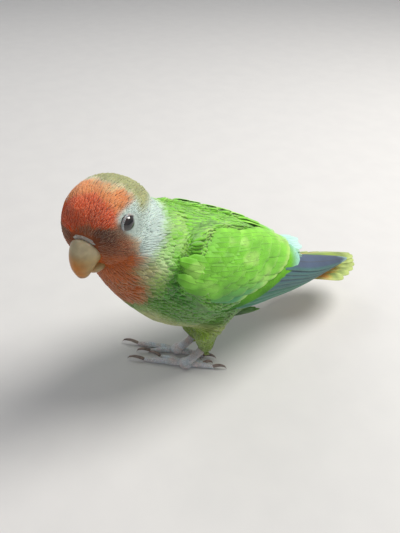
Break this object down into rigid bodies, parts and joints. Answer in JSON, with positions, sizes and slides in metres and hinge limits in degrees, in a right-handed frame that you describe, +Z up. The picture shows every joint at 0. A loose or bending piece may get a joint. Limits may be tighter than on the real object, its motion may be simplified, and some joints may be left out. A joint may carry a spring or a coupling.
{
  "type": "peach-faced lovebird",
  "caption": "Small short-tailed parrot standing still on both feet, head turned a little to its left, wings folded over the back and tail closed.",
  "frame": {"origin": "on the floor under the middle of the bird's length and width", "axes": "+X to the bird's left, -Y the way its body faces, +Z up; millimetres in the source, metres in the row"},
  "size_m": [0.0546, 0.1512, 0.1011],
  "materials": {
    "plumage": "soft feathers, green with an orange face and pale collar",
    "wing_feathers": "green coverts over slate blue flight feathers",
    "tail_feathers": "olive green and yellow-orange feathers",
    "beak": "pale horn, satin",
    "cere": "pale bare skin",
    "eyes": "wet gloss, dark brown",
    "feet": "grey-pink scaled skin",
    "claws": "satin horn"
  },
  "bodies": {
    "root": {"foot_left": "feet", "claw_left_outer_front": "claws", "claw_left_inner_front": "claws", "claw_left_outer_rear": "claws", "claw_left_inner_rear": "claws", "wing_left": "wing_feathers", "foot_right": "feet", "claw_right_outer_front": "claws", "claw_right_inner_front": "claws", "claw_right_outer_rear": "claws", "claw_right_inner_rear": "claws", "wing_right": "wing_feathers", "thigh_left": "plumage", "thigh_right": "plumage", "eye_left": "eyes", "eye_right": "eyes", "beak_upper": "beak", "cere": "cere", "beak_lower": "beak", "head": "plumage", "neck": "plumage", "torso": "plumage", "tail": "tail_feathers"}
  },
  "joints": []
}
